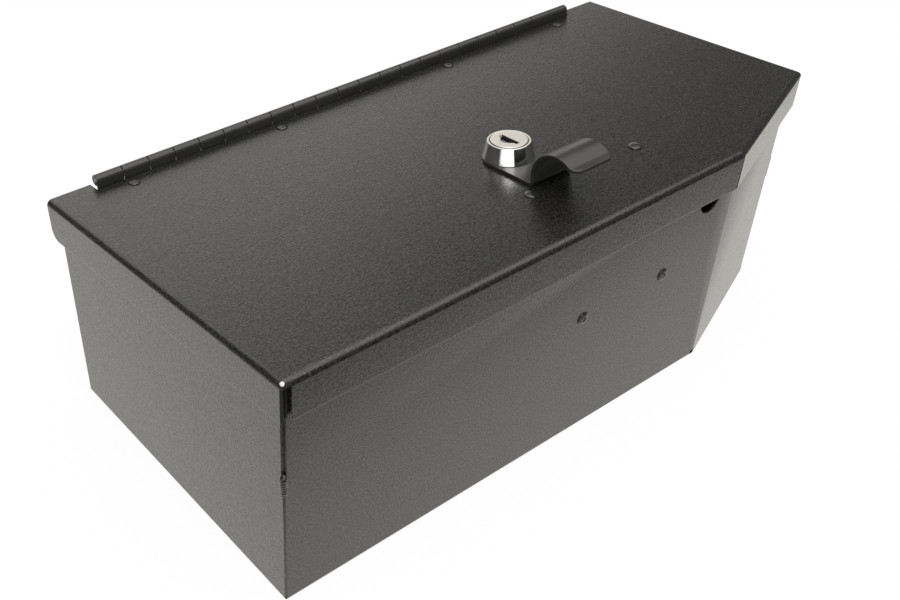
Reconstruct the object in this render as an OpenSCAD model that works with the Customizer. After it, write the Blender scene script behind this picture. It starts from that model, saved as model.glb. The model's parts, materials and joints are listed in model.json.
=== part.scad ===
// Under-seat safe: a folded steel box with a sloping lid on a continuous hinge,
// a finger pull held under the head of a cam lock, and a catch inside the front wall.

/* [Lid] */
// Length of the lid along its front edge
lid_l = 325.5; // [318:0.5:345]
// Depth of the skirt below the top face of the lid
skirt_h = 18; // [14:0.5:20]
// Length that the cut corner takes off the front edge
cut_x = 86.6; // [60:0.1:95]
// Depth that the cut corner takes off the right edge
cut_y = 33; // [20:0.5:40]
// Slope of the lid down to the back, in degrees
lid_tilt = 5.4; // [4.5:0.1:7]
// How far the two ears of the lid reach past the hinge axis
ear_past_axis = 3; // [2:0.1:3.5]
// Radius of the lower back corners of the side skirts
ear_corner_r = 5; // [3:0.1:8]

/* [Sheet] */
// Thickness of the sheet of the lid and of the body
sheet = 1.5; // [1.2:0.1:1.8]
// Outer radius of the bends of the lid
bend_r = 2.5; // [2.2:0.1:3]
// Outer radius of the bends of the body
fold_r = 1.9; // [1.7:0.1:2.6]
// Gap between the skirt and the left wall, and between the skirt and the cut corner wall
side_gap = 0.4; // [0.3:0.1:0.8]
// Gap between the front skirt and the front wall
front_gap = 0.9; // [0.4:0.1:1.2]
// Gap between the underside of the lid and the rim that it rests on
rim_gap = 0.5; // [0.4:0.1:0.8]
// Distance of the front skirt's left end from the left edge of the lid
corner_slot = 4.1; // [3:0.1:6]
// Distance of the left skirt's front end from the front edge of the lid
corner_lap = 0.8; // [0.5:0.1:1.4]
// Width of the seams between the skirts at the two blunt corners
skirt_seam = 0.7; // [0.4:0.1:1]
// Width of the open notch along the welded corners of the body
weld_notch = 1.2; // [1:0.1:1.4]
// Width of the narrow groove below the bead at the front left
low_groove = 0.5; // [0.4:0.1:0.8]

/* [Body] */
// Height of the front top edge of the lid over the floor
front_h = 112.7; // [105:0.1:125]
// Length of the body from its left wall to its right wall
body_l = 312.7; // [303:0.1:316]
// Depth of the body at the floor
floor_d = 149.1; // [140:0.1:158]
// Lean of the back wall out to the top, in degrees
back_lean = 3.8; // [2:0.1:5]
// How far the back rim stays below the hinge axis
back_rim_drop = 6.3; // [6.2:0.1:7]
// Length that the low back rim runs onto the side walls
low_rim_l = 6; // [5:0.5:12]

/* [Holes] */
// Diameter of the four bolt holes in the floor
floor_hole_d = 8.6; // [5:0.1:10.5]
// Distance between the floor holes along the body
floor_pitch_x = 203.2; // [150:0.1:220]
// Distance between the floor holes across the body
floor_pitch_y = 88.9; // [60:0.1:100]
// Diameter of the cable hole under the front skirt
cable_hole_d = 12; // [8:0.1:16]
// Cable hole, from the left edge of the lid
cable_hole_x = 225; // [218:0.1:228]
// Drop of the centre of the cable hole below the front top edge
cable_hole_drop = 19.4; // [16:0.1:24]
// Radius of the corner relief where the front wall, the cut corner wall and the floor meet
relief_r = 1.6; // [1:0.1:2.5]

/* [Welds] */
// Radius of a weld bead
bead_r = 1.55; // [1.5:0.05:2]
// Length of a weld bead
bead_l = 10.8; // [8:0.1:20]
// Height of the middle of the upright beads
bead_z = 63; // [40:0.1:70]

/* [Hinge] */
// Number of knuckles, half of them on each leaf
knuckles = 22; // [18:2:22]
// Length of one knuckle
knuckle_l = 12.7; // [12:0.05:12.7]
// Outer diameter of the barrel
barrel_d = 4.8; // [4.7:0.1:5.4]
// Diameter of the hinge pin
pin_d = 2.4; // [2:0.1:2.5]
// Radial play of the pin in the knuckles
pin_play = 0.05; // [0.02:0.01:0.1]
// Thickness of the leaves
leaf_t = 1.2; // [1:0.1:1.3]
// End of the hinge, from the left edge of the lid
hinge_x = 21.1; // [20:0.1:23]
// Height of the hinge axis over the top face of the lid
axis_rise = 2.5; // [2.2:0.1:2.6]
// Gap between two knuckles
knuckle_gap = 0.4; // [0.3:0.05:0.6]
// Gap round the leaves where they pass each other or an edge
leaf_gap = 0.5; // [0.4:0.1:0.6]
// Width of the leaf under the lid
lid_leaf_w = 14; // [12:0.5:20]
// Width of the leaf on the back wall, down from the hinge axis
body_leaf_w = 26; // [22:0.5:34]
// Gap between the end of the barrel and the ear of the lid
ear_gap = 0.6; // [0.6:0.1:1.5]

/* [Rivets] */
// Diameter of the rivet shanks
rivet_d = 3.2; // [2.5:0.1:4]
// Diameter of the domed heads of the lock plate's and the catch's rivets
rivet_head_d = 6; // [5:0.1:7]
// Diameter of the domed heads of the hinge rivets
hinge_head_d = 5.2; // [4.6:0.1:6]
// Height of the rivet heads
rivet_head_h = 0.9; // [0.5:0.1:1.4]
// Diameter of the upset rivet tails
tail_d = 4.6; // [4.3:0.1:5]
// Height of the rivet tails
tail_h = 0.8; // [0.5:0.1:1]
// Radial play of a rivet in its hole
rivet_play = 0.05; // [0.02:0.01:0.1]
// Distance of the inner hinge rivets from the middle of the hinge
rivet_inner = 50; // [38.1:0.1:60]
// Distance of the outer hinge rivets from the ends of the hinge
rivet_end = 13.9; // [8:0.1:30]
// Distance of the lid rivets in front of the hinge axis
lid_rivet_back = 8.3; // [7.5:0.1:9]
// Distance of the body rivets below the hinge axis
body_rivet_down = 16; // [12:0.1:18]

/* [Pull] */
// Width of the finger pull
pull_w = 22.2; // [19:0.1:24]
// Thickness of the strip that the pull is bent from
pull_t = 1.5; // [1:0.1:2]
// Middle of the pull's arch, from the front edge of the lid
arch_y = 26.6; // [25:0.1:30]
// Height of the middle of the arch over the lid
arch_z = 5.3; // [4:0.1:6]
// Outer radius of the arch
arch_r = 12.9; // [11:0.1:15]
// Front edge of the lip, from the front edge of the lid
lip_y = 15.6; // [13:0.1:16.5]
// Radius of the bend at the foot of the arch
foot_bend_r = 2.2; // [1.6:0.1:3]
// Radius of the reverse bend between the arch and the lip
lip_bend_r = 4; // [3:0.1:7]
// Corner radius of the lip
lip_corner_r = 5; // [2:0.1:8]

/* [Lock] */
// Middle of the lock, from the left edge of the lid
lock_x = 163.2; // [150:0.1:170]
// Middle of the lock, from the front edge of the lid
lock_y = 63; // [60:0.1:65]
// Diameter of the bezel at its base
bezel_d = 22; // [21:0.1:24]
// Diameter of the bezel at its top
bezel_top_d = 18.4; // [17.6:0.1:19.4]
// Height of the bezel
bezel_h = 7.3; // [5:0.1:8]
// Diameter of the threaded barrel of the lock
lock_barrel_d = 19; // [18:0.1:19.5]
// Distance between the two flats of the barrel
lock_flats = 16; // [15.4:0.1:17]
// Length of the barrel below the top face of the lid
lock_barrel_l = 19.5; // [18:0.1:22]
// Diameter of the plug
plug_d = 12; // [11.6:0.1:12]
// Diameter of the face of the plug
face_d = 15.8; // [14:0.1:15.9]
// Thickness of the face of the plug
face_t = 3.2; // [2.5:0.1:4]
// Height of the plug's face over the bezel
face_rise = 0.3; // [0.1:0.1:0.6]
// Width of the groove round the plug's face
face_groove = 0.35; // [0.2:0.05:0.5]
// Radial play of the plug in the barrel
plug_play = 0.08; // [0.03:0.01:0.1]
// Play round the barrel in the holes of the sheets
barrel_play = 0.1; // [0.05:0.05:0.2]
// Length of the key slot
slot_l = 10.4; // [8:0.1:10.6]
// Width of the key slot
slot_w = 2; // [1.5:0.1:2.2]
// Depth of the key slot below the top face of the lid
slot_depth = 11; // [10.5:0.1:11.5]
// Length of the funnel over the key slot
funnel_l = 11.6; // [10.6:0.1:12.5]
// Reach of the funnel beside the key slot
funnel_w = 3.9; // [2:0.1:4.5]
// Length of the funnel's blunt end
funnel_flat = 2.2; // [1:0.1:3]
// Depth of the funnel
funnel_depth = 1.1; // [0.5:0.1:1.5]

/* [Tumblers] */
// Number of wafer tumblers
wafers = 7; // [4:1:7]
// Distance between the wafers along the plug
wafer_pitch = 1.9; // [1.7:0.1:2]
// Thickness of a wafer
wafer_t = 0.9; // [0.7:0.1:1.1]
// Width of a wafer
wafer_w = 6; // [5.4:0.1:6.2]
// Play round a wafer in its slot
wafer_play = 0.1; // [0.05:0.01:0.15]
// Height of the first wafer over the top face of the lid
first_wafer_z = 2; // [1.5:0.1:2.2]
// Length of the key window in a wafer
window_l = 7.4; // [6.5:0.1:8]
// Width of the key window in a wafer
window_w = 2.8; // [2.2:0.1:3.2]
// Reach of a wafer's ear, which sits on the spring
ear_w = 1.6; // [1.3:0.1:1.7]
// Thickness of a wafer's ear
ear_t = 1; // [0.8:0.1:1.4]
// Distance from the plug's axis to either end of the spring pocket
pocket_back = 2.7; // [2.4:0.1:2.9]
// Diameter of a wafer spring
spring_d = 0.9; // [0.7:0.1:1]
// Length of a wafer spring
spring_l = 2.8; // [2.4:0.1:3.2]

/* [Lock fixing] */
// Thickness of the reinforcement plate under the lid
plate_t = 2; // [1.5:0.1:2.5]
// Left rivet of the plate, from the left edge of the lid
plate_rivet_x = 148.2; // [140:0.1:149.5]
// Distance between the two plate rivets
plate_rivet_pitch = 61.8; // [50:0.1:70]
// Plate rivets, from the front edge of the lid
plate_rivet_y = 34.8; // [33:0.1:40]
// Margin of the plate round its rivets and the lock
plate_margin = 9; // [7:0.1:12]
// Thickness of the washer under the lock nut
washer_t = 0.8; // [0.5:0.1:1.2]
// Outer diameter of the washer under the lock nut
washer_d = 26; // [24:0.1:28]
// Width of the lock nut across its flats
nut_af = 24; // [22:0.1:26]
// Height of the lock nut
nut_h = 4; // [3:0.1:5]

/* [Cam] */
// Reach of the cam from the lock's axis to its tip
cam_reach = 40; // [37:0.1:43]
// Width of the cam
cam_w = 15; // [12:0.1:18]
// Thickness of the cam
cam_t = 2; // [1.5:0.1:3]
// Thickness of the stop washer
stop_t = 0.9; // [0.6:0.1:1.2]
// Diameter of the stop washer
stop_d = 13.8; // [13:0.1:14]
// Angle that the cam turns through, in degrees
cam_turn = 90; // [60:1:120]
// Angle that the tab of the stop washer takes up, in degrees
tab_angle = 24; // [16:1:30]
// Angle left free at each end of the turn, in degrees
stop_free = 2; // [1:0.5:4]
// Diameter of the plug's tail that carries the cam
tail_rod_d = 9; // [8.4:0.1:9.4]
// Distance between the two flats of the tail
tail_flats = 6.5; // [6:0.1:7]
// Play of the cam and the stop washer on the tail
tail_play = 0.05; // [0.03:0.01:0.1]
// Gap between lock pieces that slide on each other's faces
face_gap = 0.15; // [0.1:0.05:0.2]
// Diameter of the cam screw
screw_d = 4; // [3:0.1:4.4]
// Width of the cam screw's head across its flats
screw_af = 8; // [7:0.1:9]
// Height of the cam screw's head
screw_head_h = 2.8; // [2:0.1:3.5]
// Length of the cam screw's thread in the plug
screw_l = 9; // [6:0.1:9.5]
// Outer diameter of the spring washer under the cam screw
spring_washer_d = 10.5; // [9.5:0.1:12]
// Thickness of the spring washer
spring_washer_t = 0.9; // [0.6:0.1:1.2]

/* [Catch] */
// Left rivet of the catch, from the left edge of the lid
catch_rivet_x = 152.4; // [149:0.1:155]
// Distance between the two catch rivets
catch_rivet_pitch = 49.3; // [44:0.1:53]
// Height of the catch rivets
catch_rivet_z = 64.6; // [58:0.1:70]
// Margin of the catch round its rivets
catch_margin = 6.5; // [5:0.1:8]
// Radius of the catch's bend, at the middle of its sheet
catch_bend_r = 2.5; // [2:0.1:4]
// Thickness of the catch
catch_t = 2; // [1.5:0.1:2.5]
// How far the cam's tip reaches under the catch
catch_overlap = 5; // [3:0.1:7]
// Gap between the cam and the catch
catch_gap = 0.6; // [0.4:0.1:1]

/* [Hidden] */
$fn = 64;

// Overlap of a cutting tool past the face that it cuts
over = 1;
// Radius of the hinge barrel
barrel_r = barrel_d / 2;
// Radii of the pin's hole and of a rivet's hole
knuckle_bore_r = pin_d / 2 + pin_play;
rivet_hole_r = rivet_d / 2 + rivet_play;
// Colours as the photograph shows them
coat = [0.16, 0.16, 0.155];
coat_gloss = [0.13, 0.125, 0.12];
chrome = [0.82, 0.82, 0.83];
zinc = [0.66, 0.67, 0.68];
brass = [0.75, 0.62, 0.32];

// Faces of the body, from the left edge and the front top edge of the lid
body_x0 = sheet + side_gap;
body_x1 = body_x0 + body_l;
body_y0 = sheet + front_gap;
back_y = body_y0 + floor_d;
rim_z = -sheet - rim_gap;

// The hinge axis lies a barrel's radius behind the leaning back wall and axis_rise over the lid
axis_y = (back_y + tan(back_lean) * (front_h + axis_rise * cos(lid_tilt) + barrel_r * sin(back_lean))
          + barrel_r * cos(back_lean) - axis_rise * sin(lid_tilt))
         / (cos(lid_tilt) + tan(back_lean) * sin(lid_tilt));
axis_h = (front_h - axis_y * sin(lid_tilt) + axis_rise * cos(lid_tilt) + barrel_r * sin(back_lean))
         / cos(back_lean);
lid_d = axis_y + ear_past_axis;
hinge_l = knuckles * knuckle_l;
hinge_mid = hinge_x + hinge_l / 2;
web_y = axis_y - barrel_r;
notch_y = web_y - leaf_gap;

// The origin is the middle of the bounding box at the floor
mid_y = lid_d * cos(lid_tilt) / 2;

// Levels in the lid's frame, down from the top face of the lid
plate_z = -sheet - plate_t;
washer_z = plate_z - washer_t;
nut_z = washer_z - nut_h;
face_z = pull_t + bezel_h + face_rise;
stop_z = -lock_barrel_l - face_gap - stop_t;
cam_z = stop_z - cam_t;
spring_washer_z = cam_z - spring_washer_t;
catch_z = cam_z + cam_t + catch_gap;
catch_front = lock_y - cam_reach + catch_overlap;
// Radii of the stop ring on the barrel's end
ring_r0 = stop_d / 2 + barrel_play;
ring_r1 = lock_barrel_d / 2;

// Outline of the lid on its slope, the same seen from straight above,
// and the distance from it to each wall of the body, edge by edge
lid_plan = [[0, 0], [lid_l - cut_x, 0], [lid_l, cut_y], [lid_l, lid_d], [0, lid_d]];
lid_walls = [for (p = lid_plan) [p[0], p[1] * cos(lid_tilt)]];
FRONT = 0;
CUT = 1;
RIGHT = 2;
LEFT = 4;
body_inset = [body_y0, body_x0, lid_l - body_x1, -over, body_x0];

function unit(v) = v / norm(v);
function cross2(u, v) = u[0] * v[1] - u[1] * v[0];
function next_of(p, i) = p[(i + 1) % len(p)];
function edge_dir(p, i) = unit(next_of(p, i) - p[i]);
function edge_turn(p, i) = atan2(edge_dir(p, i)[1], edge_dir(p, i)[0]);
function before(p, i) = (i + len(p) - 1) % len(p);
// A corner moved in by d_in from the edge before it and by d_out from the edge after it
function moved_corner(p, i, d_in, d_out) =
    p[i] + (d_in * edge_dir(p, i) - d_out * edge_dir(p, before(p, i)))
    / cross2(edge_dir(p, before(p, i)), edge_dir(p, i));
function inset_plan(p, d) = [for (i = [0 : len(p) - 1]) moved_corner(p, i, d[before(p, i)], d[i])];
function all_edges(d) = [d, d, d, -over, d];
body_plan = inset_plan(lid_walls, body_inset);
// A point of the lid's frame, seen in the body's frame, in the YZ plane
function on_body(y, z) = [y * cos(lid_tilt) + z * sin(lid_tilt),
                          front_h - y * sin(lid_tilt) + z * cos(lid_tilt)];
// Points along an arc, with or without its first one
function arc(centre, r, from, to, steps, first = 1) =
    [for (i = [first : steps]) let (a = from + (to - from) * i / steps) centre + r * [cos(a), sin(a)]];

// Frames: the body's, the lid's, and the outer face of the leaning back wall
module in_body() {
    translate([-lid_l / 2, -mid_y, 0]) children();
}

module sloped() {
    translate([0, 0, front_h]) rotate([-lid_tilt, 0, 0]) children();
}

module in_lid() {
    in_body() sloped() children();
}

module in_back() {
    in_body() translate([0, back_y, 0]) rotate([-back_lean, 0, 0]) children();
}

module in_lock() {
    in_lid() translate([lock_x, lock_y, 0]) children();
}

// A profile in the YZ plane, drawn out along X
module along_x(x0, x1) {
    translate([x0, 0, 0]) rotate([90, 0, 90]) linear_extrude(x1 - x0) children();
}

// What a round corner takes off at p, between the edge directions a and b
module corner_cut(p, a, b, r) {
    run = r / tan(acos(a * b) / 2);
    centre = p + (a + b) * run / (1 + a * b);
    difference() {
        polygon([p - (a + b) * over, p + a * run - b * over, centre, p + b * run - a * over]);
        translate(centre) circle(r);
    }
}

// The frame of one edge of a plan: X along the edge, Y into the plan
module on_edge(p, i) {
    translate(p[i]) rotate(edge_turn(p, i)) children();
}

function edge_len(p, i) = norm(next_of(p, i) - p[i]);

// The lid's outer form, or its hollow when inset by the sheet: upright walls under a sloping top
module lid_form(inset) {
    walls = inset_plan(lid_walls, all_edges(inset));
    top = [for (p = walls) [p[0], (p[1] + inset * sin(lid_tilt)) / cos(lid_tilt)]];
    past = inset > 0 ? over : 0;
    difference() {
        intersection() {
            linear_extrude(front_h + over) polygon(walls);
            sloped() translate([-over, -skirt_h, -skirt_h - past])
                cube([lid_l + 2 * over, skirt_h + lid_d + past, skirt_h + past - inset]);
        }
        for (i = [FRONT, CUT, RIGHT, LEFT]) {
            down = unit([edge_dir(top, i)[0] * sin(lid_tilt), -cos(lid_tilt)]);
            sloped() on_edge(top, i) along_x(-over, edge_len(top, i) + over)
                corner_cut([0, -inset], [1, 0], down, bend_r - inset);
        }
    }
}

// A slot up from the skirt's lower edge to the bend at one corner
module skirt_slot(i, w, turn) {
    translate([lid_walls[i][0], lid_walls[i][1], 0]) rotate(turn)
        translate([-w / 2, -bend_r, 0])
        cube([w, 3 * bend_r, front_h - lid_plan[i][1] * sin(lid_tilt) - bend_r]);
}

// Round holes for rivets, made from the top down
module rivet_holes(places) {
    for (p = places) {
        translate([p[0], p[1], -plate_t - sheet - over])
            cylinder(h = plate_t + sheet + 2 * over, r = rivet_hole_r);
    }
}

hinge_rivets = [hinge_x + rivet_end, hinge_mid - rivet_inner,
                hinge_mid + rivet_inner, hinge_x + hinge_l - rivet_end];
lid_rivets = [for (x = hinge_rivets) [x, axis_y - lid_rivet_back]];
catch_rivet_xs = [catch_rivet_x, catch_rivet_x + catch_rivet_pitch];
plate_rivets = [for (i = [0, 1]) [plate_rivet_x + i * plate_rivet_pitch, plate_rivet_y]];

// The outline of the lock's barrel, round with two flats
module barrel_outline(play) {
    intersection() {
        circle(lock_barrel_d / 2 + play);
        square([lock_flats + 2 * play, lock_barrel_d + over], center = true);
    }
}

module barrel_hole() {
    translate([lock_x, lock_y, -skirt_h]) linear_extrude(skirt_h + pull_t + over)
        barrel_outline(barrel_play);
}

module lid_panel() {
    color(coat) in_body() difference() {
        lid_form(0);
        lid_form(sheet);
        translate([-over, -over, 0]) cube([corner_slot + over, corner_lap + over, front_h - bend_r]);
        translate([sheet, -over, 0]) cube([corner_slot - sheet, sheet + 2 * over, front_h - bend_r]);
        skirt_slot(1, skirt_seam, edge_turn(lid_walls, CUT) / 2);
        skirt_slot(2, skirt_seam, (edge_turn(lid_walls, CUT) + edge_turn(lid_walls, RIGHT)) / 2);
        sloped() {
            translate([hinge_x - ear_gap, notch_y, -sheet - over])
                cube([hinge_l + 2 * ear_gap, lid_d, sheet + 2 * over]);
            along_x(-over, lid_l + over)
                corner_cut([lid_d, -skirt_h], [-1, 0], [0, 1], ear_corner_r);
            rivet_holes(concat(lid_rivets, plate_rivets));
            barrel_hole();
        }
    }
}

// The body's outer form, or its hollow when inset by the sheet
module body_form(inset) {
    plan = inset_plan(body_plan, all_edges(inset));
    r = fold_r - inset;
    up = [sin(back_lean), cos(back_lean)];
    heel = [back_y - inset * (1 - sin(back_lean)) / cos(back_lean), inset];
    front = body_y0 + inset;
    top = front_h + over;
    difference() {
        intersection() {
            linear_extrude(top) polygon(plan);
            along_x(body_x0 - over, body_x1 + over) difference() {
                polygon([[front, inset], heel, heel + up * top, [front, top]]);
                corner_cut([front, inset], [1, 0], [0, 1], r);
                corner_cut(heel, [-1, 0], up, r);
            }
        }
        for (i = [RIGHT, LEFT]) {
            on_edge(plan, i) along_x(-over, edge_len(plan, i) + over)
                corner_cut([0, inset], [1, 0], [0, 1], r);
        }
    }
}

// Everything over the rims: parallel to the lid, and lower along the back
module over_the_rim() {
    sloped() {
        translate([0, -front_h, rim_z]) cube([body_x1 + over, 3 * front_h, front_h]);
        translate([0, notch_y - low_rim_l, axis_rise - back_rim_drop])
            cube([body_x1 + over, front_h, front_h]);
    }
}

module floor_holes() {
    for (i = [-1, 1], j = [-1, 1]) {
        translate([body_x0 + body_l / 2 + i * floor_pitch_x / 2,
                   body_y0 + floor_d / 2 + j * floor_pitch_y / 2, -over])
            cylinder(h = sheet + 2 * over, d = floor_hole_d);
    }
}

// A hole straight back from the front face of the body
module front_hole(x, z, d, deep) {
    translate([x, body_y0 - over, z]) rotate([-90, 0, 0]) cylinder(h = deep + 2 * over, d = d);
}

// The upright open notches of the corners that are welded
module front_corner_notches() {
    translate([body_x0 - over, body_y0 - over, bead_z])
        cube([weld_notch + over, weld_notch + over, front_h]);
    translate([body_x0 - over, body_y0 - over, fold_r])
        cube([low_groove + over, low_groove + over, front_h]);
    translate([body_plan[2][0], body_plan[2][1], fold_r]) rotate(edge_turn(body_plan, CUT))
        translate([-weld_notch, -weld_notch, 0]) cube([2 * weld_notch, 2 * weld_notch, front_h]);
}

module body_blank() {
    in_body() difference() {
        body_form(0);
        body_form(sheet);
        front_corner_notches();
    }
}

module body_shell() {
    color(coat) difference() {
        body_blank();
        in_body() {
            over_the_rim();
            floor_holes();
            for (x = catch_rivet_xs) {
                front_hole(x, catch_rivet_z, 2 * rivet_hole_r, sheet);
            }
            front_hole(cable_hole_x, front_h - cable_hole_drop, cable_hole_d, sheet);
            translate([body_plan[1][0], body_plan[1][1], -over])
                cylinder(h = sheet + relief_r + over, r = relief_r);
        }
        in_back() for (x = hinge_rivets) {
            translate([x, over, axis_h - body_rivet_down]) rotate([90, 0, 0])
                cylinder(h = sheet + 2 * over, r = rivet_hole_r);
        }
    }
}

// One bead: a short round bar with domed ends, standing on its middle
module bead() {
    straight = bead_l - 2 * bead_r;
    cylinder(h = straight, r = bead_r, center = true);
    for (s = [-1, 1]) {
        translate([0, 0, s * straight / 2]) sphere(bead_r);
    }
}

// The bead at the front left stands out, and the one on the cut corner is ground flush with the walls
module corner_welds() {
    deep = weld_notch / 2;
    color(coat) difference() {
        union() {
            in_body() translate([body_x0 + deep, body_y0 + deep, bead_z]) bead();
            in_body() intersection() {
                body_form(0);
                translate([body_plan[2][0] - deep, body_plan[2][1] + deep / 3, bead_z]) bead();
            }
        }
        body_blank();
        in_body() body_form(weld_notch);
    }
}

// The catch's middle line: up the front wall, round its bend and back along the shelf
catch_y = body_y0 + sheet + catch_t / 2;
catch_shelf_z = catch_z + catch_t / 2;
catch_corner = [catch_y, front_h - catch_y * tan(lid_tilt) + catch_shelf_z / cos(lid_tilt)];
catch_bend = catch_corner + catch_bend_r * [1, -1 / cos(lid_tilt) - tan(lid_tilt)];
catch_low = catch_rivet_z - catch_margin;
catch_line = concat([[catch_y, catch_low]],
                    arc(catch_bend, catch_bend_r, 180, 90 - lid_tilt, 6, 0),
                    [on_body(catch_front, catch_shelf_z)]);

module catch_bracket() {
    color(zinc) in_body() difference() {
        along_x(catch_rivet_xs[0] - catch_margin, catch_rivet_xs[1] + catch_margin)
            polygon(strip(catch_line, catch_t));
        for (x = catch_rivet_xs) {
            front_hole(x, catch_rivet_z, 2 * rivet_hole_r, sheet + catch_t);
        }
    }
}

// Start of knuckle i along the hinge, with half a gap at each of its ends
function knuckle_x(i) = hinge_x + i * knuckle_l + knuckle_gap / 2;
knuckle_clear_l = knuckle_l - knuckle_gap;

module knuckle(i, y, z) {
    translate([knuckle_x(i), y, z]) rotate([0, 90, 0])
        cylinder(h = knuckle_clear_l, r = barrel_r);
}

module pin_bore(y, z) {
    translate([hinge_x - over, y, z]) rotate([0, 90, 0])
        cylinder(h = hinge_l + 2 * over, r = knuckle_bore_r);
}

module hinge_body_leaf() {
    plate_top = axis_h - back_rim_drop;
    color(coat_gloss) in_back() difference() {
        union() {
            for (i = [0 : 2 : knuckles - 1]) {
                knuckle(i, barrel_r, axis_h);
                translate([knuckle_x(i), 0, plate_top - over])
                    cube([knuckle_clear_l, leaf_t, back_rim_drop + over]);
            }
            translate([hinge_x, 0, axis_h - body_leaf_w])
                cube([hinge_l, leaf_t, body_leaf_w - back_rim_drop]);
        }
        pin_bore(barrel_r, axis_h);
        for (x = hinge_rivets) {
            translate([x, leaf_t + over, axis_h - body_rivet_down]) rotate([90, 0, 0])
                cylinder(h = leaf_t + 2 * over, r = rivet_hole_r);
        }
    }
}

module hinge_lid_leaf() {
    low = -sheet - leaf_t;
    color(coat_gloss) in_lid() difference() {
        union() {
            for (i = [1 : 2 : knuckles - 1]) {
                knuckle(i, axis_y, axis_rise);
                translate([knuckle_x(i), web_y, low]) cube([knuckle_clear_l, leaf_t, axis_rise - low]);
                translate([knuckle_x(i), notch_y - over, low])
                    cube([knuckle_clear_l, leaf_gap + over + leaf_t, leaf_t]);
            }
            translate([hinge_x, notch_y - lid_leaf_w, low]) cube([hinge_l, lid_leaf_w, leaf_t]);
        }
        pin_bore(axis_y, axis_rise);
        rivet_holes(lid_rivets);
    }
}

module hinge_pin() {
    color(zinc) in_lid() translate([hinge_x, axis_y, axis_rise]) rotate([0, 90, 0])
        cylinder(h = hinge_l, d = pin_d);
}

// A rivet with its domed head above the plane z = 0 and its tail below the grip
module rivet(grip, head_d) {
    dome_r = (pow(head_d / 2, 2) + pow(rivet_head_h, 2)) / (2 * rivet_head_h);
    intersection() {
        translate([0, 0, rivet_head_h - dome_r]) sphere(dome_r);
        cylinder(h = rivet_head_h, d = head_d);
    }
    translate([0, 0, -grip]) cylinder(h = grip, d = rivet_d);
    translate([0, 0, -grip - tail_h]) cylinder(h = tail_h, d = tail_d);
}

module catch_rivets() {
    color(coat) in_body() for (x = catch_rivet_xs) {
        translate([x, body_y0, catch_rivet_z]) rotate([90, 0, 0]) rivet(sheet + catch_t, rivet_head_d);
    }
}

module hinge_lid_rivets() {
    color(coat) in_lid() for (p = lid_rivets) {
        translate([p[0], p[1], 0]) rivet(sheet + leaf_t, hinge_head_d);
    }
}

module hinge_body_rivets() {
    color(coat) in_back() for (x = hinge_rivets) {
        translate([x, leaf_t, axis_h - body_rivet_down]) rotate([-90, 0, 0])
            rivet(sheet + leaf_t, hinge_head_d);
    }
}

module reinforcement_rivets() {
    color(coat) in_lid() for (p = plate_rivets) {
        translate([p[0], p[1], 0]) rivet(sheet + plate_t, rivet_head_d);
    }
}

module lock_reinforcement() {
    x0 = plate_rivet_x - plate_margin;
    y0 = plate_rivet_y - plate_margin;
    back = lock_y + lock_barrel_d / 2 + plate_margin;
    color(zinc) in_lid() difference() {
        translate([x0, y0, plate_z])
            cube([plate_rivet_pitch + 2 * plate_margin, back - y0, plate_t]);
        rivet_holes(plate_rivets);
        barrel_hole();
    }
}

// The pull's middle line: flat under the lock, up round the foot, over the arch
// and through a reverse bend to the lip
arch_mid_r = arch_r - pull_t / 2;
arch_end = 122;
lip_dip = 7;
arch_centre = [arch_y, arch_z];
foot_rise = pull_t / 2 + foot_bend_r - arch_z;
foot_centre = arch_centre
    + [sqrt(pow(arch_mid_r + foot_bend_r, 2) - pow(foot_rise, 2)), foot_rise];
arch_start = asin(foot_rise / (arch_mid_r + foot_bend_r));
lip_centre = arch_centre + (arch_mid_r + lip_bend_r) * [cos(arch_end), sin(arch_end)];
lip_start = lip_centre + lip_bend_r * [sin(lip_dip), -cos(lip_dip)];
lip_run = (lip_start[0] - lip_y) / cos(lip_dip);
pull_line = concat([[lock_y + pull_w, pull_t / 2]],
                   arc(foot_centre, foot_bend_r, 270, 180 + arch_start, 6, 0),
                   arc(arch_centre, arch_mid_r, arch_start, arch_end, 24),
                   arc(lip_centre, lip_bend_r, arch_end + 180, 270 + lip_dip, 5),
                   [lip_start - lip_run * [cos(lip_dip), sin(lip_dip)]]);

// Normal of the middle line at point i, long enough to keep the strip's thickness in a bend
function side_of(p, i) =
    let (a = i == 0 ? unit(p[1] - p[0]) : unit(p[i] - p[i - 1]),
         b = i == len(p) - 1 ? a : unit(p[i + 1] - p[i]))
    unit(a + b) / (unit(a + b) * a);
function left_of(v) = [-v[1], v[0]];
function strip(p, t) = concat(
    [for (i = [0 : len(p) - 1]) p[i] + left_of(side_of(p, i)) * t / 2],
    [for (i = [len(p) - 1 : -1 : 0]) p[i] - left_of(side_of(p, i)) * t / 2]);

// The pull seen from above: round behind the lock, and with round corners on the lip
module pull_plan() {
    half = pull_w / 2;
    difference() {
        union() {
            translate([-half, lip_y - over - lock_y]) square([pull_w, lock_y - lip_y + over]);
            circle(half);
        }
        corner_cut([-half, lip_y - lock_y - pull_t * sin(lip_dip)], [1, 0], [0, 1], lip_corner_r);
        corner_cut([half, lip_y - lock_y - pull_t * sin(lip_dip)], [-1, 0], [0, 1], lip_corner_r);
    }
}

module finger_pull() {
    color(coat_gloss) in_lid() difference() {
        intersection() {
            along_x(lock_x - pull_w, lock_x + pull_w) polygon(strip(pull_line, pull_t));
            translate([lock_x, lock_y, -over]) linear_extrude(2 * arch_r + arch_z) pull_plan();
        }
        barrel_hole();
    }
}

// A sector as a polygon, wider than any piece of the lock
module sector(from, to) {
    steps = 12;
    polygon(concat([[0, 0]], [for (i = [0 : steps]) let (a = from + (to - from) * i / steps)
        2 * lock_barrel_d * [cos(a), sin(a)]]));
}

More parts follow.
